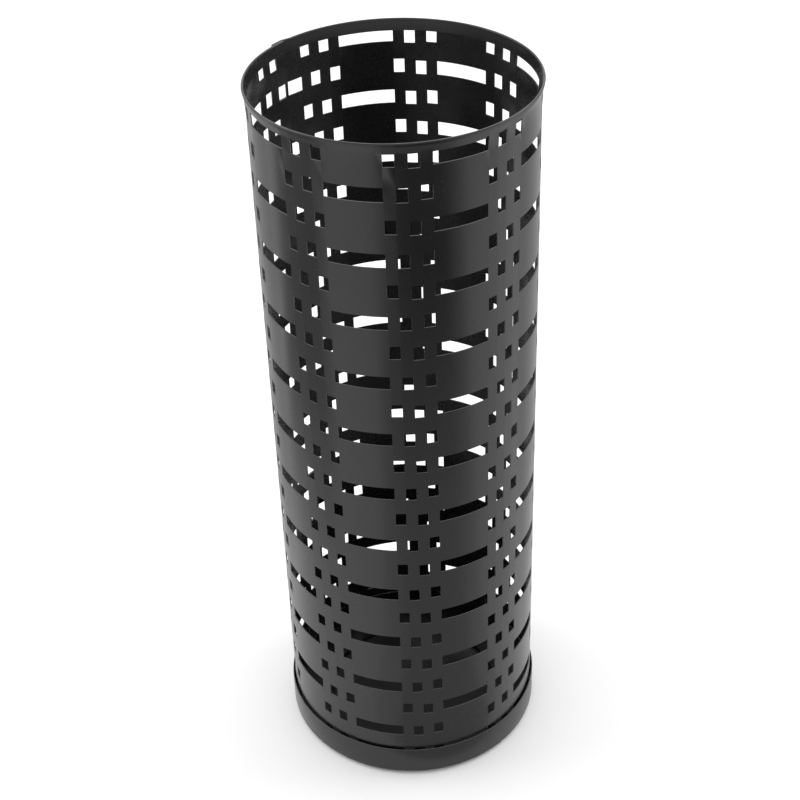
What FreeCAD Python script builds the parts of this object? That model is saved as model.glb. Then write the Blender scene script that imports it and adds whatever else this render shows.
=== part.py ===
"""Umbrella stand: a tall tube of perforated sheet steel that stands loose in a pressed drip pan on four pads.

Millimetres, +Z up. The origin is on the floor, at the middle of the stand, and -Y is the front.
A turn is an angle in degrees, counted from the front towards +X. A run is a length along the rolled sheet,
counted the same way from its inner end.
"""
import FreeCAD, Part
import math
import os
import re
import Sketcher

doc = FreeCAD.newDocument("umbrella_stand")
sheet = doc.addObject("Spreadsheet::Sheet", "sizes")

SIZES = [
    # overall
    ("stand_height", 500.0),        # floor to the top of the rim
    ("tube_radius", 88.3),          # outside of the rolled sheet
    ("sheet_thickness", 0.7),
    # pads and drip pan
    ("pad_thickness", 1.5),
    ("pad_radius", 7.0),
    ("pad_inset", 6.15),            # bend of the pan to the edge of a pad
    ("pan_thickness", 0.8),
    ("pan_depth", 23.3),            # underside of the pan to the top of its wall
    ("pan_corner_radius", 3.0),     # outside of the bend between the floor and the wall
    ("pan_clearance", 0.3),         # between the lap of the tube and the wall
    ("rest_clearance", 0.3),        # between the lower edge of the tube and the bend
    ("floor_step", 1.5),            # the middle of the floor is raised, which stiffens it
    ("step_inset", 5.0),            # edge of a pad to the foot of the step
    ("floor_step_run", 3.0),
    # hem: the top edge is folded inwards and flared outwards
    ("hem_height", 7.5),
    ("hem_gap", 0.2),
    ("rim_flare", 1.7),
    # lap seam at the back: the outer end of the sheet steps out over the inner end
    ("seam_turn", 229.0),
    ("lap_length", 8.4),
    ("lap_gap", 0.05),
    ("joggle_length", 6.0),
    ("joggle_height", 10.0),        # below the hem, where the lap has moved out as far as the hem needs
    ("lap_corner_cut", 1.5),        # the lapped end starts this much higher, to clear the bend of the pan
    # perforation: groups of four columns of square openings, with a long opening after each group
    ("row_pitch", 21.24),
    ("first_row_depth", 10.5),      # rim to the middle of the first row
    ("foot_margin", 8.0),           # least plain sheet that is left below the last row
    ("opening_height", 9.2),
    ("square_width", 6.8),
    ("column_pitch", 7.15),
    ("long_width", 35.4),
    ("end_margin", 2.0),            # inner end of the sheet to the first column
    ("side_drop", 0.6),             # first kind of group: its left columns and long opening sit lower
    ("middle_drop", 1.15),          # second kind of group: its two middle columns sit lower
]

DERIVED = [
    ("degree_per_run", "180 / (pi * tube_radius)"),
    ("girth", "2 * pi * tube_radius"),
    ("hem_thickness", "2 * sheet_thickness + hem_gap"),
    ("lap_step", "sheet_thickness + lap_gap"),
    ("hem_step", "hem_thickness + lap_gap"),
    ("hem_level", "stand_height - hem_height"),
    ("joggle_level", "hem_level - joggle_height"),
    ("fold_level", "stand_height - hem_thickness / 2"),
    ("pan_bore_radius", "tube_radius + lap_step + pan_clearance"),
    ("pan_outer_radius", "pan_bore_radius + pan_thickness"),
    ("pan_top_level", "pad_thickness + pan_depth"),
    ("pad_circle_radius", "pan_outer_radius - pan_corner_radius - pad_inset - pad_radius"),
    ("floor_step_radius", "pad_circle_radius - pad_radius - step_inset"),
    ("bend_inner_radius", "pan_corner_radius - pan_thickness"),
    ("bend_overhang", "max(tube_radius - pan_bore_radius + bend_inner_radius; 0)"),
    ("bend_rise", "bend_inner_radius - sqrt(bend_inner_radius ^ 2 - bend_overhang ^ 2)"),
    ("tube_foot_level", "pad_thickness + pan_thickness + bend_rise + rest_clearance"),
    ("row_span", "stand_height - first_row_depth - opening_height / 2 - tube_foot_level - foot_margin"),
    ("row_count", "1 + floor(row_span / row_pitch)"),
    ("group_pitch", "4 * column_pitch + long_width"),
    ("group_count", "1 + floor((girth - joggle_length - end_margin - 4 * column_pitch) / group_pitch)"),
]

COLUMNS = 4
CUTTER_REACH = 15.0                 # how far an opening's cutter runs past the sheet
SECTORS = 36                        # the wall's round faces are this many strips, so that each stays narrow
PAD_COUNT = 4
DROPS = {(0, 0): "side_drop", (0, 1): "side_drop", (0, COLUMNS): "side_drop",
         (1, 1): "middle_drop", (1, 2): "middle_drop"}

ALIASES = [alias for alias, _ in SIZES + DERIVED]


def named(text):
    """Turn the size names in an expression into references to the sheet's cells."""
    return re.sub(r"[a-z]\w*", lambda word: ("sizes." if word[0] in ALIASES else "") + word[0], text)


def fill_sheet():
    """Each driving dimension is a plain number. The sizes that follow from them are formulas below."""
    for row, (alias, value) in enumerate(SIZES + DERIVED, start=1):
        sheet.set(f"A{row}", alias)
        sheet.set(f"B{row}", f"={value}" if isinstance(value, str) else str(value))
        sheet.setAlias(f"B{row}", alias)
    doc.recompute()


def measure(text):
    """The present value of an expression, as a plain number."""
    result = sheet.evalExpression(named(text))
    return float(getattr(result, "Value", result))


def bind(feature, **expressions):
    """Bind properties of a feature to expressions of the sheet's sizes."""
    for name, text in expressions.items():
        feature.setExpression(name, named(text))


def origin_part(body, role):
    """One of a body's own planes or axes."""
    return next(part for part in body.Origin.OriginFeatures if part.Role == role)


def new_body(name):
    body = doc.addObject("PartDesign::Body", name)
    body.Label = name
    return body


def add_feature(body, kind, name, **values):
    """Add a PartDesign feature and set its plain properties."""
    feature = body.newObject("PartDesign::" + kind, name)
    for key, value in values.items():
        setattr(feature, key, value)
    return feature


def upright_sketch(body, name, turn, corners, arcs=()):
    """A closed outline in an upright plane through the axis, turned about Z.

    Every corner is held by its two distances from the origin, which are bound to the sheet. A side whose
    number is in arcs is a quarter bend: its value is the radius and the centre's side, 1 left or -1 right.
    """
    sketch = body.newObject("Sketcher::SketchObject", name)
    sketch.AttachmentSupport = (origin_part(body, "XZ_Plane"), [""])
    sketch.MapMode = "FlatFace"
    up = FreeCAD.Vector(0, 1, 0)
    sketch.AttachmentOffset = FreeCAD.Placement(FreeCAD.Vector(), FreeCAD.Rotation(up, measure(turn)))
    if measure(turn) != 0:
        sketch.setExpression("AttachmentOffset.Rotation.Angle", named(turn))
    arcs = dict(arcs)
    places = [FreeCAD.Vector(measure(across), measure(height), 0) for across, height in corners]
    for side, start in enumerate(places):
        end = places[(side + 1) % len(places)]
        if side in arcs:
            sketch.addGeometry(bend(start, end, measure(arcs[side][0]), arcs[side][1]), False)
        else:
            sketch.addGeometry(Part.LineSegment(start, end), False)
    for side, (across, height) in enumerate(corners):
        following = (side + 1) % len(corners)
        own_start, own_end = end_points(side, arcs)
        next_start, _ = end_points(following, arcs)
        sketch.addConstraint(Sketcher.Constraint("Coincident", side, own_end, following, next_start))
        hold(sketch, "X", side, own_start, across)
        hold(sketch, "Y", side, own_start, height)
        if side in arcs:
            add_bound(sketch, Sketcher.Constraint("Radius", side, measure(arcs[side][0])), arcs[side][0])
    return sketch


def bend(start, end, radius, centre_side):
    """A circular arc from start to end, with its centre to the left (1) or right (-1) of the straight line."""
    chord = end - start
    left = FreeCAD.Vector(-chord.y, chord.x, 0).normalize() * centre_side
    depth = (radius ** 2 - (chord.Length / 2) ** 2) ** 0.5
    centre = (start + end) / 2 + left * depth
    return Part.Arc(start, centre - left * radius, end)


def end_points(side, arcs):
    """The sketcher keeps every arc anticlockwise, so one with its centre on the right runs backwards."""
    return (2, 1) if side in arcs and arcs[side][1] < 0 else (1, 2)


def hold(sketch, direction, side, point, text):
    """Fix one distance of a corner from the origin. The sketcher wants it positive, so it may run backwards."""
    value = measure(text)
    if value == 0:
        line = -2 if direction == "X" else -1
        sketch.addConstraint(Sketcher.Constraint("PointOnObject", side, point, line))
    elif value > 0:
        add_bound(sketch, Sketcher.Constraint("Distance" + direction, -1, 1, side, point, value), text)
    else:
        add_bound(sketch, Sketcher.Constraint("Distance" + direction, side, point, -1, 1, -value), f"-({text})")


def add_bound(sketch, constraint, text):
    number = sketch.addConstraint(constraint)
    sketch.setExpression(f"Constraints[{number}]", named(text))


def revolve(body, name, sketch, angle):
    """Turn a section about the upright axis, towards larger turns."""
    feature = add_feature(body, "Revolution", name, Profile=sketch, Refine=False)
    feature.ReferenceAxis = (origin_part(body, "Z_Axis"), [""])
    bind(feature, Angle=angle)
    doc.recompute()
    return feature


def wall_corners(low, high, foot):
    """Section of the sheet up to the fold. low and high move it outwards below the hem and at the hem."""
    edge = f"tube_radius + {high} + rim_flare"
    return [(f"tube_radius + {low} - sheet_thickness", foot),
            (f"tube_radius + {low}", foot),
            (f"tube_radius + {low}", "joggle_level"),
            (f"tube_radius + {high}", "hem_level"),
            (edge, "fold_level"),
            (f"{edge} - hem_thickness / 4", "stand_height"),
            (f"{edge} - hem_thickness * 3 / 4", "stand_height"),
            (f"{edge} - hem_thickness", "fold_level"),
            (f"{edge} - hem_thickness + sheet_thickness", "fold_level"),
            (f"{edge} - sheet_thickness", "fold_level"),
            (f"tube_radius + {high} - sheet_thickness", "hem_level"),
            (f"tube_radius + {low} - sheet_thickness", "joggle_level")]


def flap_corners(high):
    """Section of the strip that is folded down inside the rim."""
    inside = f"tube_radius + {high} - hem_thickness"
    return [(inside, "hem_level"),
            (f"{inside} + sheet_thickness", "hem_level"),
            (f"{inside} + sheet_thickness + rim_flare", "fold_level"),
            (f"{inside} + rim_flare", "fold_level")]


def lap_and_joggle(body, plain, moved):
    """The end of the sheet: it steps out from the plain section to the moved one, and then laps the other end."""
    joggle_turn = "seam_turn - joggle_length * degree_per_run - 90"
    lap = upright_sketch(body, body.Name + "_lap_section", "seam_turn - 90", moved)
    revolve(body, body.Name + "_lap", lap, "lap_length * degree_per_run")
    start = upright_sketch(body, body.Name + "_joggle_start", joggle_turn, plain)
    end = upright_sketch(body, body.Name + "_joggle_end", "seam_turn - 90", moved)
    add_feature(body, "AdditiveLoft", body.Name + "_joggle", Profile=start, Sections=[end],
                Ruled=True, Refine=False)
    doc.recompute()


def plain_ring(body, plain, sectors=1):
    """The rest of the round, from the inner end of the sheet to the joggle, in equal sectors side by side."""
    sweep = "(360 - joggle_length * degree_per_run)"
    section = upright_sketch(body, body.Name + "_section", "seam_turn - 90", plain)
    sector = revolve(body, body.Name + "_turn", section, f"{sweep} / {sectors}")
    if sectors > 1:
        pattern = add_feature(body, "PolarPattern", body.Name + "_sectors", Originals=[sector],
                              Occurrences=sectors, Refine=False)
        pattern.Axis = (origin_part(body, "Z_Axis"), [""])
        bind(pattern, Angle=f"{sweep} * {sectors - 1} / {sectors}")
        body.Tip = pattern
        doc.recompute()


def opening(start, end, level):
    """A straight cutter for one opening, from run start to run end, with its middle at a level."""
    radius = measure("tube_radius")
    height = measure("opening_height")
    degree_per_run = measure("degree_per_run")
    half = radius * math.sin(math.radians((end - start) / 2 * degree_per_run))
    corner = FreeCAD.Vector(-half, -radius - CUTTER_REACH, level - height / 2)
    cutter = Part.makeBox(2 * half, radius / 2 + CUTTER_REACH, height, corner)
    turn = measure("seam_turn") + (start + end) / 2 * degree_per_run
    cutter.rotate(FreeCAD.Vector(), FreeCAD.Vector(0, 0, 1), turn)
    return cutter


def row_levels(first_row, drop):
    """Levels of every second row from first_row on."""
    top = measure(f"stand_height - first_row_depth - {drop}")
    pitch = measure("row_pitch")
    return [top - row * pitch for row in range(first_row, int(measure("row_count")), 2)]


def column_of_openings(kind, column, start, end):
    """All openings of one column. The rows it uses depend on the kind of group and on the column."""
    drop = DROPS.get((kind, column), "0")
    return [opening(start, end, level) for level in row_levels((column + kind + 1) % 2, drop)]


def ring_cutters():
    """Groups of two kinds alternate: in one the even rows hold columns 0 and 2 and a long opening, in the
    other the odd rows do. The remaining rows hold columns 1 and 3. The last long opening stops at the seam."""
    cutters = []
    pitch = measure("column_pitch")
    square = measure("square_width")
    for group in range(int(measure("group_count"))):
        group_start = measure(f"end_margin + {group} * group_pitch")
        for column in range(COLUMNS):
            middle = group_start + (column + 0.5) * pitch
            cutters += column_of_openings(group % 2, column, middle - square / 2, middle + square / 2)
        long_start = group_start + COLUMNS * pitch
        long_end = min(long_start + measure("long_width"), measure("girth - lap_gap"))
        cutters += column_of_openings(group % 2, COLUMNS, long_start, long_end)
    return cutters


def lap_cutters():
    """The last long openings run on through the joggle and out at the lapped end, where they reach that far."""
    group = int(measure("group_count")) - 1
    start = measure(f"end_margin + {group} * group_pitch + {COLUMNS} * column_pitch")
    end = start + measure("long_width")
    if end <= measure("girth - joggle_length"):
        return []
    return column_of_openings(group % 2, COLUMNS, start, end)


def cut_openings(name, blank, cutters):
    """Cut a blank with hundreds of equal openings in one go, which patterns would take many minutes for."""
    if not cutters:
        return blank
    tool = doc.addObject("Part::Feature", name + "_cutters")
    tool.Shape = Part.makeCompound(cutters)
    cut = doc.addObject("Part::Cut", name)
    cut.Base = blank
    cut.Tool = tool
    cut.Refine = False
    doc.recompute()
    if cut.Shape.Volume >= blank.Shape.Volume:
        raise RuntimeError(name + " cuts nothing")
    return cut


def make_tube():
    """One sheet: perforated flat, hemmed along the top, rolled up and lapped at the back."""
    lap = new_body("wall_lap")
    raised_foot = "(tube_foot_level + lap_corner_cut)"
    lap_and_joggle(lap, wall_corners("0", "0", raised_foot), wall_corners("lap_step", "hem_step", raised_foot))
    wall = new_body("wall_ring")
    plain_ring(wall, wall_corners("0", "0", "tube_foot_level"), SECTORS)
    flap = new_body("hem_flap")
    plain_ring(flap, flap_corners("0"))
    lap_and_joggle(flap, flap_corners("0"), flap_corners("hem_step"))
    tube = doc.addObject("Part::MultiFuse", "perforated_tube")
    tube.Shapes = [cut_openings("open_lap", lap, lap_cutters()),
                   cut_openings("open_ring", wall, ring_cutters()), flap]
    tube.Refine = False
    return tube


def make_pan():
    """Pressed steel: a floor with a raised middle, a bend, and an upright wall round the foot of the tube."""
    body = new_body("drip_pan")
    step_start = "floor_step_radius - floor_step_run"
    bend_start = "pan_outer_radius - pan_corner_radius"
    under = "pad_thickness"
    top = "pan_top_level"
    corners = [("0", f"{under} + floor_step"),
               (step_start, f"{under} + floor_step"),
               ("floor_step_radius", under),
               (bend_start, under),
               ("pan_outer_radius", f"{under} + pan_corner_radius"),
               ("pan_outer_radius", f"{top} - pan_thickness / 3"),
               ("pan_outer_radius - pan_thickness / 3", top),
               ("pan_bore_radius + pan_thickness / 3", top),
               ("pan_bore_radius", f"{top} - pan_thickness / 3"),
               ("pan_bore_radius", f"{under} + pan_corner_radius"),
               (bend_start, f"{under} + pan_thickness"),
               ("floor_step_radius", f"{under} + pan_thickness"),
               (step_start, f"{under} + floor_step + pan_thickness"),
               ("0", f"{under} + floor_step + pan_thickness")]
    bends = {3: ("pan_corner_radius", 1), 9: ("bend_inner_radius", -1)}
    section = upright_sketch(body, "pan_section", "0", corners, bends)
    revolve(body, "pan_shell", section, "360")
    return body


def make_pad(number):
    """A self-adhesive disc under the low ring of the pan."""
    pad = doc.addObject("Part::Cylinder", f"foot_pad_{number + 1}")
    turn = 360 / PAD_COUNT * (number + 0.5)
    bind(pad, Radius="pad_radius", Height="pad_thickness")
    pad.setExpression("Placement.Base.x", named(f"pad_circle_radius * cos({turn})"))
    pad.setExpression("Placement.Base.y", named(f"pad_circle_radius * sin({turn})"))
    return pad


def check_and_write(nodes):
    """Refuse to write anything unless every object is sound and every node is one solid."""
    doc.recompute()
    for item in doc.Objects:
        if "Invalid" in item.State or "Error" in item.State:
            raise RuntimeError(f"{item.Label} failed: {item.State}")
    for node in nodes:
        if node.Shape.isNull() or not node.Shape.isValid() or len(node.Shape.Solids) != 1:
            raise RuntimeError(node.Label + " is not one sound solid")
    os.makedirs("parts", exist_ok=True)
    for node in nodes:
        node.Shape.exportStep(f"parts/{node.Label}.step")
        print(node.Label, "volume", round(node.Shape.Volume), "mm3, faces", len(node.Shape.Faces))


fill_sheet()
check_and_write([make_tube(), make_pan()] + [make_pad(number) for number in range(PAD_COUNT)])
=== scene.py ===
# %% [markdown]
# # A perforated umbrella stand
# The real object is a tall tube of thin sheet steel. The sheet is punched flat, hemmed along its top
# edge, rolled up, lapped at the back, and coated in satin black powder. It stands loose in a shallow
# pressed pan. One shape could show all of that, but the tube lifts out of the pan, so we make each
# real piece on its own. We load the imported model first. Its boxes give the places and the overall
# sizes that we build to.

# %% Load the frame
import math
import bmesh
import bpy
from mathutils import Matrix, Vector


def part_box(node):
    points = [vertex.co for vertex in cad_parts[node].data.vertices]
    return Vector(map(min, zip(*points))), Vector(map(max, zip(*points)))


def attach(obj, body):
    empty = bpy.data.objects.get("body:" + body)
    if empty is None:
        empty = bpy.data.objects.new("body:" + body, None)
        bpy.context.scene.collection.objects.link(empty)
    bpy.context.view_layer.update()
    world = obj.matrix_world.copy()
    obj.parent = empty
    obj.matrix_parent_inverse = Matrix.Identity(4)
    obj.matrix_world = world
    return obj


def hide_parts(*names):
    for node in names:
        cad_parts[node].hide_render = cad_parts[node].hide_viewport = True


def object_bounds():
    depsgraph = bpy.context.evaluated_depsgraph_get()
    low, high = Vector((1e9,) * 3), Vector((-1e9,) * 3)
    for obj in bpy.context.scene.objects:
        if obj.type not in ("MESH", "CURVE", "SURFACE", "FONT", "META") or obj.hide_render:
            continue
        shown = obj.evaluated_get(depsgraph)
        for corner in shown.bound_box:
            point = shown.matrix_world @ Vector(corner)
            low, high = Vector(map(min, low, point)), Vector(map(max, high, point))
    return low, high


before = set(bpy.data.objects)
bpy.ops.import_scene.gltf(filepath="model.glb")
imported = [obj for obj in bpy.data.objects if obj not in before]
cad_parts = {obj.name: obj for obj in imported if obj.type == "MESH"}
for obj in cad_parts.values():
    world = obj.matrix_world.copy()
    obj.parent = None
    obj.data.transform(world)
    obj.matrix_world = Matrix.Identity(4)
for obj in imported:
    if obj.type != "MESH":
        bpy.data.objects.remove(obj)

cad_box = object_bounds()
tube_low, tube_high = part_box("perforated_tube")
pan_low, pan_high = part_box("drip_pan")
MM = 0.001
print("tube stands from", round(tube_low[2], 4), "to", round(tube_high[2], 4), "m")

# %% [markdown]
# ## Colours
# Colours are easiest to choose as the hex values of a screen, but shaders work in linear light. We
# could type the linear numbers, but nobody can read those, so one function turns the one into the
# other.

# %% Colour helper
def linear(hex_colour):
    """sRGB hex, such as 1a1a1b, as linear red, green, blue and alpha."""
    channels = [int(hex_colour[i:i + 2], 16) / 255 for i in (0, 2, 4)]
    return [c / 12.92 if c <= 0.04045 else ((c + 0.055) / 1.055) ** 2.4 for c in channels] + [1.0]


print("808080 is", round(linear("808080")[0], 3), "in linear light")

# %% [markdown]
# ## Nodes
# Every finish below is a small tree of nodes. One function adds a node and wires its inputs in one
# go, which keeps the finishes short enough to read as recipes. Patterns are sized in millimetres, as
# on the real thing.

# %% Node helpers
def add_node(tree, kind, inputs=(), **settings):
    """Add a node, set its own settings, then give each named input a value or a socket to read."""
    node = tree.nodes.new(kind)
    for name, value in settings.items():
        setattr(node, name, value)
    for name, value in dict(inputs).items():
        if isinstance(value, bpy.types.NodeSocket):
            tree.links.new(value, node.inputs[name])
        else:
            node.inputs[name].default_value = value
    return node


def new_finish(name):
    """A material with a bare shader, and the Object coordinates that all of its patterns read."""
    finish = bpy.data.materials.new(name)
    finish.use_nodes = True
    tree = finish.node_tree
    place = add_node(tree, "ShaderNodeTexCoord").outputs["Object"]
    return finish, tree, tree.nodes["Principled BSDF"], place


def per_mm(size):
    """Noise scale that gives features about this many millimetres across."""
    return 1 / (size * MM)


print("a pattern of 2 mm has a noise scale of", round(per_mm(2)))

# %% [markdown]
# ## The tones of powder coat
# Powder coat is melted plastic dust, here in satin black. Its tone shifts a little where the layer is
# thicker or has been handled, and a few specks of dust settle on it. A flat black would look painted
# on, so a broad noise mixes two near tones, and only the peaks of a fine one become specks. Real
# specks are too fine to show, so these are drawn coarser.

# %% Tones of the coat
DRIFT_SIZE = 70.0           # millimetres across
DUST_SIZE = 2.2             # millimetres across
DUST_LIMITS = (0.62, 0.8)   # where on the noise a speck starts, and where it is whole
DUST_SHARE = 0.1            # how much of a whole speck shows
DUST_TONE = "202021"


def coat_tones(tree, place, dark, light):
    """Two near tones with a little dust on them. Gives the colour, its drift and the dust."""
    drift = add_node(tree, "ShaderNodeTexNoise",
                     {"Vector": place, "Scale": per_mm(DRIFT_SIZE), "Detail": 4.0}).outputs["Fac"]
    specks = add_node(tree, "ShaderNodeTexNoise",
                      {"Vector": place, "Scale": per_mm(DUST_SIZE), "Detail": 3.0}).outputs["Fac"]
    tone = add_node(tree, "ShaderNodeMix", {"Factor": drift, "A": linear(dark), "B": linear(light)},
                    data_type="RGBA").outputs["Result"]
    dust = add_node(tree, "ShaderNodeMapRange",
                    {"Value": specks, "From Min": DUST_LIMITS[0], "From Max": DUST_LIMITS[1],
                     "To Min": 0.0, "To Max": DUST_SHARE}).outputs["Result"]
    dusted = add_node(tree, "ShaderNodeMix", {"Factor": dust, "A": tone, "B": linear(DUST_TONE)},
                      data_type="RGBA").outputs["Result"]
    return dusted, drift, dust


print("tones drift over", DRIFT_SIZE, "mm, specks are", DUST_SIZE, "mm across")

# %% [markdown]
# ## Wear and a painted highlight at the top
# Hands and umbrellas rub the top of the rim and of the pan, which turns the coat there a little
# greyer and glossier in patches. At the thin crest of the rim's fold this lighter tone is also a
# painted highlight along the top edge. We could paint that on by hand, but a height and a noise
# multiplied together put it on the very top of any piece, wherever its rim is.

# %% Rubbed share
RUB_AND_HIGHLIGHT_DEPTH = 0.2     # millimetres over which the wear and the painted highlight set in
PATCH_SIZE = 9.0    # millimetres across


def rub_and_highlight_share(tree, place, rub_and_highlight_above):
    """How far the coat is rubbed and carries a painted highlight: not at all below a level in millimetres,
    and in patches above it.
    """
    height = add_node(tree, "ShaderNodeSeparateXYZ", {"Vector": place}).outputs["Z"]
    top = add_node(tree, "ShaderNodeMapRange",
                   {"Value": height, "From Min": rub_and_highlight_above * MM,
                    "From Max": (rub_and_highlight_above + RUB_AND_HIGHLIGHT_DEPTH) * MM}).outputs["Result"]
    patches = add_node(tree, "ShaderNodeTexNoise",
                       {"Vector": place, "Scale": per_mm(PATCH_SIZE), "Detail": 3.0}).outputs["Fac"]
    return add_node(tree, "ShaderNodeMath", {0: top, 1: patches}, operation="MULTIPLY").outputs["Value"]


# levels in millimetres above which wear and a painted highlight set in, on the rim and on the pan
RIM_RUB_AND_HIGHLIGHT = tube_high[2] / MM - RUB_AND_HIGHLIGHT_DEPTH
PAN_RUB_AND_HIGHLIGHT = pan_high[2] / MM - RUB_AND_HIGHLIGHT_DEPTH
print("rubbed above", round(RIM_RUB_AND_HIGHLIGHT, 2), "mm on the rim and", round(PAN_RUB_AND_HIGHLIGHT, 2), "mm on the pan")

# %% [markdown]
# ## Satin black powder coat
# The coat flows almost smooth, but keeps a faint orange peel with waves of about a millimetre. The
# waves are far too shallow to model, so a fine noise bumps the surface, and the drift of the tones
# also moves the gloss. Where the sheet was punched, the coat pulls back from the corners and looks
# greyer, so the cut edges get a lighter mix of the same finish. That lighter tone is partly this
# thin coat and partly a painted highlight, standing for the lit face of the sheet's cut edge.

# %% Powder coat
WAVE_SIZE = 1.3             # millimetres across
WAVE_STRENGTH = 0.22
DRIFT_LIMITS = (0.3, 0.7)   # the part of the drift that moves the gloss
GLOSS_DRIFT = (-0.03, 0.04)  # how far it moves the roughness, at either end
RUB_POLISH = -0.1           # what full wear and painted highlight add to the roughness
# the tone of wear, which at the crest of the rim also serves as a painted highlight
WORN_AND_HIGHLIGHT_TONE = "6a6a6c"
COAT_IOR = 1.5              # a usual value for plastics


def powder_coat(name, dark, light, roughness, peel, rub_and_highlight_above):
    """Black coat. Its gloss drifts, its orange peel has a height in millimetres, and at its top it carries
    wear and a painted highlight.
    """
    finish, tree, shader, place = new_finish(name)
    dusted, drift, dust = coat_tones(tree, place, dark, light)
    rub_and_highlight = rub_and_highlight_share(tree, place, rub_and_highlight_above)
    # wear and painted highlight mixed into the colour at the top
    worn_and_highlit = add_node(tree, "ShaderNodeMix", {"Factor": rub_and_highlight, "A": dusted, "B": linear(WORN_AND_HIGHLIGHT_TONE)},
                    data_type="RGBA").outputs["Result"]
    gloss = add_node(tree, "ShaderNodeMapRange",
                     {"Value": drift, "From Min": DRIFT_LIMITS[0], "From Max": DRIFT_LIMITS[1],
                      "To Min": roughness + GLOSS_DRIFT[0],
                      "To Max": roughness + GLOSS_DRIFT[1]}).outputs["Result"]
    polish = add_node(tree, "ShaderNodeMath", {0: rub_and_highlight, 1: RUB_POLISH, 2: gloss},
                      operation="MULTIPLY_ADD").outputs["Value"]
    grain = add_node(tree, "ShaderNodeMath", {0: polish, 1: dust}, operation="ADD").outputs["Value"]
    waves = add_node(tree, "ShaderNodeTexNoise",
                     {"Vector": place, "Scale": per_mm(WAVE_SIZE), "Detail": 2.0}).outputs["Fac"]
    relief = add_node(tree, "ShaderNodeBump",
                      {"Height": waves, "Strength": WAVE_STRENGTH, "Distance": peel * MM}).outputs["Normal"]
    tree.links.new(worn_and_highlit, shader.inputs["Base Color"])
    tree.links.new(grain, shader.inputs["Roughness"])
    tree.links.new(relief, shader.inputs["Normal"])
    shader.inputs["IOR"].default_value = COAT_IOR
    return finish


tube_coat = powder_coat("satin_black_powder_coat", "0e0e0f", "141415", 0.25, 0.02, RIM_RUB_AND_HIGHLIGHT)
# cut faces: a thin greyer coat, made lighter still as a painted highlight of their lit edges
edge_coat_and_highlight = powder_coat("thin_coat_and_painted_highlight_on_punched_edge", "4c4c4d", "5a5a5c", 0.34, 0.01, RIM_RUB_AND_HIGHLIGHT)
pan_coat = powder_coat("pan_black_powder_coat", "0e0e0f", "151516", 0.28, 0.025, PAN_RUB_AND_HIGHLIGHT)
print("coats:", tube_coat.name, edge_coat_and_highlight.name, pan_coat.name)

# %% [markdown]
# ## Pad rubber
# The pads are die-cut from black foam rubber: dull, with fine pores. Modelled pores would be
# thousands of faces that nobody sees, so one small noise gives them to the tone, the gloss and the
# relief at once. The tone is darker where the relief sinks in, which is painted shade in the pores.

# %% Pad rubber
PORE_SIZE = 0.6     # millimetres across
PORE_DEPTH = 0.1    # millimetres
PORE_STRENGTH = 0.6
FOAM_ROUGHNESS = (0.75, 0.95)


def foam_rubber():
    """Dull black foam, less dull inside its pores, and darker there with painted shade."""
    finish, tree, shader, place = new_finish("black_foam_rubber")
    pores = add_node(tree, "ShaderNodeTexNoise",
                     {"Vector": place, "Scale": per_mm(PORE_SIZE), "Detail": 3.0}).outputs["Fac"]
    # painted shade: the tone is darker where the pores sink in
    tone = add_node(tree, "ShaderNodeMix", {"Factor": pores, "A": linear("0d0d0d"), "B": linear("232323")},
                    data_type="RGBA").outputs["Result"]
    dull = add_node(tree, "ShaderNodeMapRange",
                    {"Value": pores, "To Min": FOAM_ROUGHNESS[0],
                     "To Max": FOAM_ROUGHNESS[1]}).outputs["Result"]
    relief = add_node(tree, "ShaderNodeBump",
                      {"Height": pores, "Strength": PORE_STRENGTH,
                       "Distance": PORE_DEPTH * MM}).outputs["Normal"]
    tree.links.new(tone, shader.inputs["Base Color"])
    tree.links.new(dull, shader.inputs["Roughness"])
    tree.links.new(relief, shader.inputs["Normal"])
    return finish


pad_rubber = foam_rubber()
print("rubber:", pad_rubber.name, "with pores of", PORE_SIZE, "mm")

# %% [markdown]
# ## The punched pattern
# The openings come in groups: four columns of squares and one of long openings, nine times round the
# tube. In each row every second column is open, and the next row swaps them, as on a chessboard. Some
# columns sit about a millimetre lower than their neighbours, as the punch left them. Each opening
# could be placed by hand, but all of this is a few numbers, so we write them down once, in
# millimetres.

# %% Sizes of the sheet and its openings
STAND_HEIGHT = cad_box[1][2] / MM
SHEET = 0.7
FOOT = tube_low[2] / MM
TUBE_RADIUS = 88.3
GIRTH = 2 * math.pi * TUBE_RADIUS
ROWS = 23
ROW_PITCH = 21.24
FIRST_ROW_DEPTH = 10.5
OPENING_HEIGHT = 9.2
SQUARE_WIDTH = 6.8
COLUMN_PITCH = 7.15
COLUMNS = 4
LONG_WIDTH = 35.4
END_MARGIN = 2.0
GROUP_PITCH = COLUMNS * COLUMN_PITCH + LONG_WIDTH
GROUPS = 9
LAP_LENGTH = 8.4
JOGGLE_LENGTH = 6.0
print("the blank is", round(GIRTH + LAP_LENGTH, 1), "mm long before rolling")

# %% [markdown]
# ## Upright lines
# A boolean could cut the openings, but it leaves ragged faces that shade badly on a curve. We plan
# the mesh so that its lines run exactly along the punched edges. First the upright ones: two for each
# column of squares, several for each long opening so that it rolls up round, and one at each end of
# the step in the lap.

# %% Upright lines of the blank
LONG_STEPS = 8
LEAST_STRIP = 0.5   # millimetres: a line nearer than this to the cut end is left out
# How far a column sits low, by the kind of its group and its place there. The long opening comes last.
DROPS = {(0, 0): 0.6, (0, 1): 0.6, (0, COLUMNS): 0.6, (1, 1): 1.15, (1, 2): 1.15}


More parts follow.
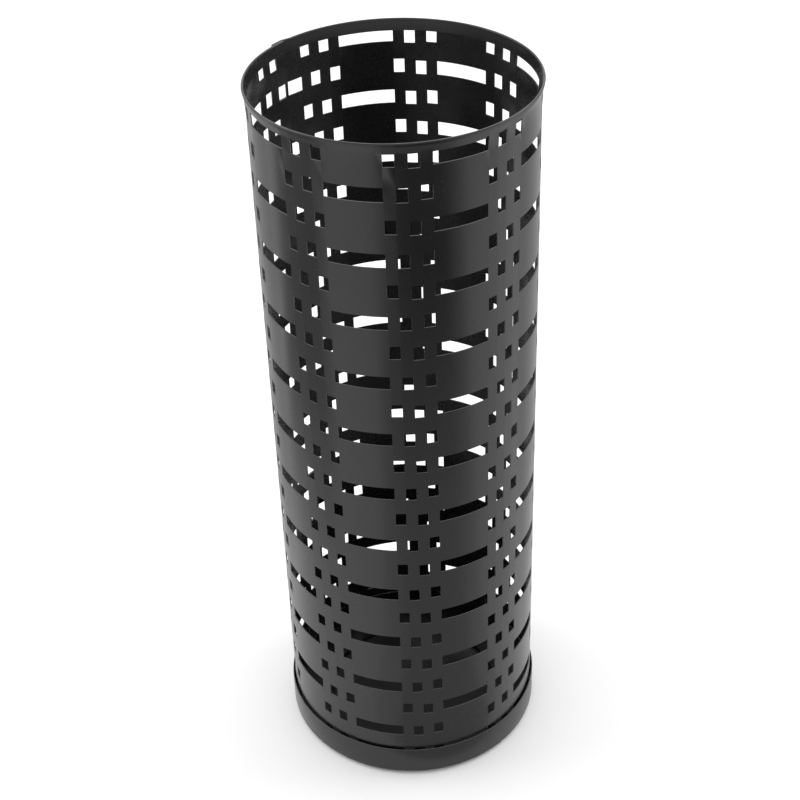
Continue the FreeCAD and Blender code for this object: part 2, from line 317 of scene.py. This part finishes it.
def sheet_lines():
    """Every upright line as (run, drop), and the strip to the right of each as (kind, column) or None."""
    lines = [(0.0, 0.0)]
    strips = [None]
    for group in range(GROUPS):
        kind = group % 2
        start = END_MARGIN + group * GROUP_PITCH
        for column in range(COLUMNS):
            middle = start + (column + 0.5) * COLUMN_PITCH
            drop = DROPS.get((kind, column), 0.0)
            lines += [(middle - SQUARE_WIDTH / 2, drop), (middle + SQUARE_WIDTH / 2, drop)]
            strips += [(kind, column), None]
        long_start = start + COLUMNS * COLUMN_PITCH
        drop = DROPS.get((kind, COLUMNS), 0.0)
        for step in range(LONG_STEPS + 1):
            lines.append((long_start + LONG_WIDTH * step / LONG_STEPS, drop))
            strips.append((kind, COLUMNS) if step < LONG_STEPS else None)
    for run in (GIRTH - JOGGLE_LENGTH, GIRTH):
        before = sum(left < run for left, _ in lines) - 1
        lines.insert(before + 1, (run, lines[before][1]))
        strips.insert(before + 1, strips[before])
    end = GIRTH + LAP_LENGTH
    kept = [i for i, (run, _) in enumerate(lines) if run < end - LEAST_STRIP]
    return [lines[i] for i in kept] + [(end, lines[kept[-1]][1])], [strips[i] for i in kept]


lines, strips = sheet_lines()
print(len(lines), "upright lines,", sum(s is not None for s in strips), "strips that hold openings")

# %% [markdown]
# ## Levels, with the hem
# The top edge is folded inwards and pressed down. Along the blank that is only more sheet: past the
# fold line the same strip goes over a tight bend and comes back down on the inside. A separate ring
# could be set on top, but it would show a joint that the real rim doesn't have. So the blank simply
# carries extra levels for the bend and for the flap, above one pair of levels for each row of
# openings.

# %% Levels of the blank
HEM_GAP = 0.2
HEM_HEIGHT = 7.5
HEM_THICKNESS = 2 * SHEET + HEM_GAP
FOLD_RADIUS = HEM_THICKNESS / 2
HEM_LEVEL = STAND_HEIGHT - HEM_HEIGHT
FOLD_LEVEL = STAND_HEIGHT - FOLD_RADIUS
FOLD_LENGTH = math.pi * FOLD_RADIUS
FOLD_STEPS = 8
HEM_PARTS = (0.35, 0.6)         # levels on the way up the hem, as shares of its height
FLAP_PARTS = (0.3, 0.7, 1.0)    # levels on the way down the flap


def sheet_levels():
    """Heights along the blank, and the row that each interval above them belongs to, or None."""
    levels = [FOOT]
    rows = [None]
    for row in reversed(range(ROWS)):
        middle = STAND_HEIGHT - FIRST_ROW_DEPTH - row * ROW_PITCH
        levels += [middle - OPENING_HEIGHT / 2, middle + OPENING_HEIGHT / 2]
        rows += [row, None]
    levels += [HEM_LEVEL + HEM_HEIGHT * part for part in HEM_PARTS]
    levels += [FOLD_LEVEL + FOLD_LENGTH * step / FOLD_STEPS for step in range(FOLD_STEPS + 1)]
    flap = FOLD_LEVEL - HEM_LEVEL
    levels += [FOLD_LEVEL + FOLD_LENGTH + flap * part for part in FLAP_PARTS]
    rows += [None] * (len(levels) - len(rows) - 1)
    return levels, rows


levels, rows = sheet_levels()
print(len(levels), "levels, the fold takes", round(FOLD_LENGTH, 2), "mm of sheet")

# %% [markdown]
# ## Folding
# The rim also flares outwards a little, starting just below the hem. Folding could be done on the
# mesh with the spin operator, but the blank is full of openings by then. One function is simpler: it
# says where a height along the flat blank ends up once the sheet is folded and flared.

# %% Fold and flare
RIM_FLARE = 1.7
FLARE_BELOW = 0.8   # millimetres below the hem where the flare starts
FLARE_CURVE = 1.1   # 1 would be a straight slope


def flare(level):
    """How far the sheet leans outwards at a level."""
    along = (level - HEM_LEVEL + FLARE_BELOW) / (FOLD_LEVEL - HEM_LEVEL + FLARE_BELOW)
    return RIM_FLARE * max(0.0, min(1.0, along)) ** FLARE_CURVE


def folded(height):
    """Outward shift and level of the sheet's outer face, for a height along the blank."""
    if height <= FOLD_LEVEL:
        return flare(height), height
    if height <= FOLD_LEVEL + FOLD_LENGTH:
        angle = (height - FOLD_LEVEL) / FOLD_RADIUS
        outwards = RIM_FLARE - FOLD_RADIUS + FOLD_RADIUS * math.cos(angle)
        return outwards, FOLD_LEVEL + FOLD_RADIUS * math.sin(angle)
    level = 2 * FOLD_LEVEL + FOLD_LENGTH - height
    return flare(level) - HEM_THICKNESS, level


print("the rim leans", round(folded(FOLD_LEVEL)[0], 2), "mm outwards at the fold")

# %% [markdown]
# ## Punching
# A column of points goes up the left end of the blank, one at each level. Extruding it to the right,
# from line to line, gives a flat grid. The faces inside openings are then deleted, which is what the
# punch does.

# %% Punch the blank
def is_open(middle):
    """Whether a face of the blank lies in an opening, by the strip and the row that hold its middle."""
    strip = strips[sum(run < middle.x for run, _ in lines) - 1]
    row = rows[sum(level < middle.y for level in levels) - 1]
    if strip is None or row is None:
        return False
    kind, column = strip
    return (column + kind + 1) % 2 == row % 2


def punched_blank():
    """The flat blank: x is the run along the sheet and y the height, both in millimetres."""
    blank = bmesh.new()
    tip = blank.verts.new((0.0, levels[0], 0.0))
    for low, high in zip(levels, levels[1:]):
        grown = bmesh.ops.extrude_vert_indiv(blank, verts=[tip])
        tip = grown["verts"][0]
        bmesh.ops.translate(blank, verts=[tip], vec=(0.0, high - low, 0.0))
    column = list(blank.edges)
    for (left, _), (right, _) in zip(lines, lines[1:]):
        grown = bmesh.ops.extrude_edge_only(blank, edges=column)["geom"]
        column = [item for item in grown if isinstance(item, bmesh.types.BMEdge)]
        moved = [item for item in grown if isinstance(item, bmesh.types.BMVert)]
        bmesh.ops.translate(blank, verts=moved, vec=(right - left, 0.0, 0.0))
    openings = [face for face in blank.faces if is_open(face.calc_center_median())]
    bmesh.ops.delete(blank, geom=openings, context="FACES")
    return blank


blank = punched_blank()
print("punched blank:", len(blank.faces), "faces")

# %% [markdown]
# ## The lap seam
# The outer end of the sheet laps over the inner end, so in its last few millimetres it steps
# outwards: by one sheet below, and by the whole thickness of the hem at the rim. Two loose ends could
# simply cross, but they would cut through each other, so one function gives the step for every point
# of the lapped end.

# %% Step of the lap
LAP_GAP = 0.05
LAP_STEP = SHEET + LAP_GAP
HEM_STEP = HEM_THICKNESS + LAP_GAP
JOGGLE_HEIGHT = 10.0    # millimetres below the hem over which the step grows


def eased(value):
    """A value between 0 and 1 that starts and ends softly."""
    value = max(0.0, min(1.0, value))
    return value * value * (3 - 2 * value)


def lap_shift(run, level):
    """Outward shift of the lapped end: none before the joggle, more at the hem than below it."""
    at_hem = max(0.0, min(1.0, (level - HEM_LEVEL + JOGGLE_HEIGHT) / JOGGLE_HEIGHT))
    step = LAP_STEP + (HEM_STEP - LAP_STEP) * at_hem
    return step * eased((run - GIRTH + JOGGLE_LENGTH) / JOGGLE_LENGTH)


print("the lap steps out", round(lap_shift(GIRTH, FOOT), 2), "mm below and",
      round(lap_shift(GIRTH, STAND_HEIGHT), 2), "mm at the rim")

# %% [markdown]
# ## Rolling
# Rolling turns a run along the sheet into a turn round the axis. A curve modifier could bend the
# blank, but the fold, the drops and the lap all move the same points, so we put each point in its
# place once.

# %% Roll the blank
SEAM_TURN = math.radians(229.0)
LAP_CORNER_CUT = 1.5    # millimetres off the foot of the lap, which clears the bend of the pan
TOP_ROW = STAND_HEIGHT - FIRST_ROW_DEPTH
LOWEST_ROW = TOP_ROW - (ROWS - 0.5) * ROW_PITCH     # only points between these two levels take a drop
HIGHEST_ROW = TOP_ROW + ROW_PITCH / 3


def roll_up(blank):
    """Fold, lap and roll the flat blank into the outer face of the tube, in metres."""
    for vert in blank.verts:
        run, height = vert.co.x, vert.co.y
        if LOWEST_ROW < height < HIGHEST_ROW:
            height -= min(lines, key=lambda line: abs(line[0] - run))[1]
        if run > GIRTH - JOGGLE_LENGTH:
            height = max(height, FOOT + LAP_CORNER_CUT)
        shift, level = folded(height)
        radius = (TUBE_RADIUS + shift + lap_shift(run, level)) * MM
        turn = SEAM_TURN + run / TUBE_RADIUS
        vert.co = (radius * math.sin(turn), -radius * math.cos(turn), level * MM)
    bmesh.ops.recalc_face_normals(blank, faces=blank.faces)
    wall = max(blank.faces, key=lambda face: face.calc_area())
    middle = wall.calc_center_median()
    if wall.normal.dot(Vector((middle.x, middle.y, 0))) < 0:
        bmesh.ops.reverse_faces(blank, faces=blank.faces)


roll_up(blank)
print("rolled to", round(max(vert.co.z for vert in blank.verts) / MM, 1), "mm tall")

# %% [markdown]
# ## From a bmesh to a piece
# A bmesh is only a shape. To show it, we copy it into a mesh, give it its finishes, and link an
# object that stays at the origin, so that patterns on its own coordinates keep their place.

# %% Piece helper
def finished_piece(name, shape, finishes, smooth=True):
    """Turn a bmesh into a scene object with its finishes, and free the bmesh."""
    mesh = bpy.data.meshes.new(name)
    shape.to_mesh(mesh)
    shape.free()
    for finish in finishes:
        mesh.materials.append(finish)
    if smooth:
        mesh.shade_smooth()
    else:
        mesh.shade_flat()
    piece = bpy.data.objects.new(name, mesh)
    bpy.context.scene.collection.objects.link(piece)
    return piece


print("the blank is ready to finish, with", len(blank.verts), "points")

# %% [markdown]
# ## Thickness and punched edges
# The rolled surface is the outer face of the sheet. Solidify gives it its 0.7 mm inwards and puts the
# lighter edge coat, thin coat and painted highlight in one, on the cut faces. A fine bevel then rounds
# every punched edge, because powder never leaves a sharp one, and that rounding and the edge coat's
# painted highlight draw the thin light lines round the openings. Both stay as modifiers, which keeps
# the mesh under them light.

# %% Make the tube
EDGE_ROUND = 0.1
SHARP_ANGLE = math.radians(50)  # only edges sharper than this are rounded
EDGE_SLOT = 1                   # the place of the edge coat, with its painted highlight, among the tube's finishes

tube = finished_piece("rolled_tube", blank, [tube_coat, edge_coat_and_highlight])
thickness = tube.modifiers.new("sheet_thickness", "SOLIDIFY")
thickness.thickness = SHEET * MM
thickness.offset = -1.0
thickness.use_even_offset = True
thickness.material_offset_rim = EDGE_SLOT
rounding = tube.modifiers.new("coated_edges", "BEVEL")
rounding.width = EDGE_ROUND * MM
rounding.segments = 2
rounding.limit_method = "ANGLE"
rounding.angle_limit = SHARP_ANGLE
rounding.harden_normals = True
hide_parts("perforated_tube")
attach(tube, "tube")
print("tube:", len(tube.data.polygons), "faces before thickness")

# %% [markdown]
# ## The section of the drip pan
# The pan is pressed from one round blank: a floor with a raised middle, a bend and a wall. Its
# section is a thin closed outline. We give only the corners of the outline, each with its rounding,
# as a maker's drawing does.

# %% Corners of the section
PAN_SHEET = 0.8
PAN_RADIUS = pan_high[0] / MM
PAN_UNDER = pan_low[2] / MM
PAN_TOP = pan_high[2] / MM
PAN_CORNER = 3.0
PAN_LIP = PAN_SHEET * 0.45  # the top edge is rounded over by nearly half its thickness
FLOOR_STEP = 1.5
STEP_RADIUS = 62.0
STEP_RUN = 3.0
TIGHT_BEND = 1.2            # inside of a bend in the floor
WIDE_BEND = 2.0             # outside of it: the inside and one thickness


def pan_section():
    """Corners from the axis outwards below, and back inwards above, with each one's rounding."""
    over = PAN_UNDER + PAN_SHEET
    bore = PAN_RADIUS - PAN_SHEET
    return [((0.0, PAN_UNDER + FLOOR_STEP), 0),
            ((STEP_RADIUS - STEP_RUN, PAN_UNDER + FLOOR_STEP), TIGHT_BEND),
            ((STEP_RADIUS, PAN_UNDER), WIDE_BEND),
            ((PAN_RADIUS, PAN_UNDER), PAN_CORNER),
            ((PAN_RADIUS, PAN_TOP), PAN_LIP),
            ((bore, PAN_TOP), PAN_LIP),
            ((bore, over), PAN_CORNER - PAN_SHEET),
            ((STEP_RADIUS, over), TIGHT_BEND),
            ((STEP_RADIUS - STEP_RUN, over + FLOOR_STEP), WIDE_BEND),
            ((0.0, over + FLOOR_STEP), 0)]


print("the pan's section has", len(pan_section()), "corners")

# %% [markdown]
# ## Spinning the pan
# A cylinder with inset faces could become a pan too, but a section says exactly what each bend is. A
# vertex bevel rounds the corners, and a full spin about the axis makes the shell. The points on the
# axis fall together, so they are merged before the faces are turned outwards.

# %% Spin the pan
SPIN_STEPS = 160
BEND_SEGMENTS = 5
WELD = 0.001    # millimetres within which points are merged


def spun(section, steps):
    """Draw a section in the XZ plane, round its corners, and spin it into a closed shell."""
    shape = bmesh.new()
    corners = [shape.verts.new((x * MM, 0.0, z * MM)) for (x, z), _ in section]
    for start, end in zip(corners, corners[1:]):
        shape.edges.new((start, end))
    for corner, (_, radius) in zip(corners, section):
        if radius:
            bmesh.ops.bevel(shape, geom=[corner], offset=radius * MM, offset_type="OFFSET",
                            segments=BEND_SEGMENTS, profile=0.5, affect="VERTICES", material=-1)
    bmesh.ops.spin(shape, geom=shape.verts[:] + shape.edges[:], cent=(0, 0, 0), axis=(0, 0, 1),
                   angle=2 * math.pi, steps=steps, use_merge=True)
    bmesh.ops.remove_doubles(shape, verts=shape.verts, dist=WELD * MM)
    bmesh.ops.recalc_face_normals(shape, faces=shape.faces)
    return shape


pan = finished_piece("pressed_drip_pan", spun(pan_section(), SPIN_STEPS), [pan_coat])
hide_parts("drip_pan")
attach(pan, "base")
pan_lowest = min(v.co.z for v in pan.data.vertices) / MM
print("pan:", len(pan.data.polygons), "faces, low", round(pan_lowest, 2), "mm")

# %% [markdown]
# ## The pads
# Four self-adhesive discs sit under the low ring of the pan. A plain cylinder would have knife edges,
# but a die-cut foam disc is rounded over by the cutter. So each is a short cylinder with both rims
# bevelled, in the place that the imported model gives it.

# %% Make the pads
PAD_ROUND = 0.35
PAD_SIDES = 48
SAME_LEVEL = 0.01   # millimetres: an edge whose ends differ by less runs round a rim


def foot_pad(number):
    """One foam disc, in the box of its own node."""
    low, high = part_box(f"foot_pad_{number}")
    middle = (Vector(low) + Vector(high)) / 2
    radius = (high[0] - low[0]) / 2
    pad = bmesh.new()
    bmesh.ops.create_cone(pad, cap_ends=True, segments=PAD_SIDES, radius1=radius, radius2=radius,
                          depth=high[2] - low[2])
    rims = [edge for edge in pad.edges
            if abs(edge.verts[0].co.z - edge.verts[1].co.z) < SAME_LEVEL * MM]
    bmesh.ops.bevel(pad, geom=rims, offset=PAD_ROUND * MM, offset_type="OFFSET", segments=3,
                    profile=0.5, affect="EDGES", material=-1)
    bmesh.ops.translate(pad, verts=pad.verts, vec=middle)
    piece = finished_piece(f"foam_pad_{number}", pad, [pad_rubber])
    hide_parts(f"foot_pad_{number}")
    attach(piece, "base")
    return piece


pads = [foot_pad(number) for number in range(1, 5)]
print(len(pads), "pads,", len(pads[0].data.polygons), "faces each")

# %% [markdown]
# ## Matte finishes for the stage
# The stage is dull paper and cloth. One finish serves for all of it: a single colour, or two that
# change with the distance from the stand, so that what it mirrors has soft ends.

# %% Matte finish
MATTE_ROUGHNESS = 0.9
MATTE_GLEAM = 0.1


def matte(name, hex_colour, far_hex=None, reach=(0.0, 1.0)):
    """A dull finish. A second colour takes over across a range of distances from the stand, in metres."""
    finish, tree, shader, place = new_finish(name)
    shader.inputs["Base Color"].default_value = linear(hex_colour)
    shader.inputs["Roughness"].default_value = MATTE_ROUGHNESS
    shader.inputs["Specular IOR Level"].default_value = MATTE_GLEAM
    if far_hex:
        distance = add_node(tree, "ShaderNodeVectorMath", {0: place}, operation="LENGTH").outputs["Value"]
        share = add_node(tree, "ShaderNodeMapRange",
                         {"Value": distance, "From Min": reach[0], "From Max": reach[1]}).outputs["Result"]
        mixed = add_node(tree, "ShaderNodeMix",
                         {"Factor": share, "A": linear(hex_colour), "B": linear(far_hex)},
                         data_type="RGBA").outputs["Result"]
        tree.links.new(mixed, shader.inputs["Base Color"])
    return finish


dark_cloth = matte("dark_cloth", "c4c4c4", "404040", (0.36, 0.8))
middle_cloth = matte("middle_cloth", "e4e4e4", "b0b0b0", (0.2, 0.6))
grey_cloth = matte("grey_cloth", "f0f0f0", "9c9c9c", (0.3, 0.6))
pale_cloth = matte("pale_cloth", "f0f0f0", "cccccc", (0.12, 0.4))
print("cloths:", dark_cloth.name, middle_cloth.name, grey_cloth.name, pale_cloth.name)

# %% [markdown]
# ## Floor and cloths
# The stand is seen from above, so its glossy wall mirrors the floor rather than the lamps. A plain
# floor alone would leave the wall one even tone. Cloths of grey on the floor give it its soft bands:
# a dark one in front and to the right, with a paler border, and paler ones to the left and behind.
# They begin close to the stand. They are hidden from the lens, throw no shade and light nothing, so
# they show only as reflections in the coat.

# %% Floor and cloths
BORDER_LEVEL = 1    # millimetres over the floor, under the other cloths
CLOTH_LEVEL = 2


def stage_sheet(name, near, far, widths, turn, finish):
    """A flat sheet, from near to far in front of the stand, turned in degrees about the upright axis.

    Lengths are in metres. The two widths are those of the near end and of the far end.
    """
    card = bmesh.new()
    bmesh.ops.create_grid(card, x_segments=1, y_segments=1, size=0.5)
    for corner in card.verts:
        outer = corner.co.y < 0
        corner.co = (corner.co.x * widths[outer], -(far if outer else near), 0.0)
    bmesh.ops.rotate(card, verts=card.verts, matrix=Matrix.Rotation(math.radians(turn), 3, "Z"))
    sheet = finished_piece(name, card, [finish], smooth=False)
    return sheet


stage_sheet("studio_floor", -7, 7, (14, 14), 0, matte("pale_floor", "fcfcfc"))
border = stage_sheet("front_border", 0.1, 1.75, (0.2, 2.15), 18, middle_cloth)
upper_cloths = [stage_sheet("front_cloth", 0.1, 1.7, (0.12, 1.25), 19, dark_cloth),
                stage_sheet("left_cloth", 0.3, 1.2, (0.3, 0.9), -82, grey_cloth),
                stage_sheet("back_left_cloth", 0.12, 1.9, (0.16, 1.9), -142, pale_cloth),
                stage_sheet("back_right_cloth", 0.12, 1.9, (0.16, 1.9), 134, pale_cloth)]
border.location.z = BORDER_LEVEL * MM
for cloth in upper_cloths:
    cloth.location.z = CLOTH_LEVEL * MM
for cloth in [border] + upper_cloths:
    cloth.visible_camera = False
    cloth.visible_shadow = False
    cloth.visible_diffuse = False
print("a floor and", len(upper_cloths) + 1, "cloths that only reflections see")

# %% [markdown]
# ## World and lamps
# Product shots of black things are lit from all round, because a single lamp leaves most of the shape
# in the dark. Nearly white surroundings do most of the work, and three large soft boxes, left, right
# and above, add gentle edges.

# %% World and lamps
WORLD_STRENGTH = 0.96


def soft_box(name, place, aim, size, power):
    """A large rectangular lamp at a place, turned towards a point. Lengths in metres, power in watts."""
    light = bpy.data.lights.new(name, "AREA")
    light.shape = "RECTANGLE"
    light.size, light.size_y = size
    light.energy = power
    lamp = bpy.data.objects.new(name, light)
    lamp.location = place
    lamp.rotation_euler = (Vector(aim) - Vector(place)).to_track_quat("-Z", "Y").to_euler()
    bpy.context.scene.collection.objects.link(lamp)
    return lamp


world = bpy.data.worlds.new("studio")
bpy.context.scene.world = world
world.use_nodes = True
surroundings = world.node_tree.nodes["Background"]
surroundings.inputs["Color"].default_value = linear("ffffff")
surroundings.inputs["Strength"].default_value = WORLD_STRENGTH
lamps = [soft_box("left_soft_box", (-2.0, 0.3, 1.5), (-0.5, 0.2, 0.0), (1.6, 1.6), 16),
         soft_box("right_soft_box", (2.1, 0.5, 1.5), (0.5, 0.3, 0.0), (1.4, 1.6), 15),
         soft_box("top_soft_box", (0, 0.9, 2.8), (0, 0.4, 0), (2.4, 2.4), 12)]
print(len(lamps), "soft boxes,", round(sum(lamp.data.energy for lamp in lamps)), "W in all")

# %% [markdown]
# ## The camera
# A medium long lens looks down from about 1.3 m away, pitched by 35 degrees and rolled by two. Its
# place is given in tube radii, so it keeps the same view if the stand is scaled. The Standard view
# transform leaves a white floor white, where the default one would grey it.

# %% Camera
LENS_LENGTH = 74.007    # millimetres, on a sensor of SENSOR_WIDTH
SENSOR_WIDTH = 36.0
CAMERA_DISTANCE = 10.2408 * TUBE_RADIUS * MM
CAMERA_HEIGHT = 10.1904 * TUBE_RADIUS * MM + PAN_UNDER * MM
CAMERA_PITCH = 0.61229  # radians, as are the next two
CAMERA_YAW = -0.00284
CAMERA_ROLL = 0.03509

lens = bpy.data.cameras.new("studio_lens")
lens.sensor_width = SENSOR_WIDTH
lens.lens = LENS_LENGTH
camera = bpy.data.objects.new("studio_camera", lens)
bpy.context.scene.collection.objects.link(camera)
camera.location = (0, -CAMERA_DISTANCE, CAMERA_HEIGHT)
forward = Vector((math.sin(CAMERA_YAW) * math.cos(CAMERA_PITCH),
                  math.cos(CAMERA_YAW) * math.cos(CAMERA_PITCH),
                  -math.sin(CAMERA_PITCH)))
level_right = Vector((math.cos(CAMERA_YAW), -math.sin(CAMERA_YAW), 0))
level_down = forward.cross(level_right)
right = math.cos(CAMERA_ROLL) * level_right + math.sin(CAMERA_ROLL) * level_down
camera.rotation_euler = Matrix((right, right.cross(forward), -forward)).transposed().to_euler()
bpy.context.scene.camera = camera
bpy.context.scene.view_settings.view_transform = "Standard"
print("lens", round(lens.lens, 1), "mm, camera", round(camera.location.length, 2), "m from the foot")
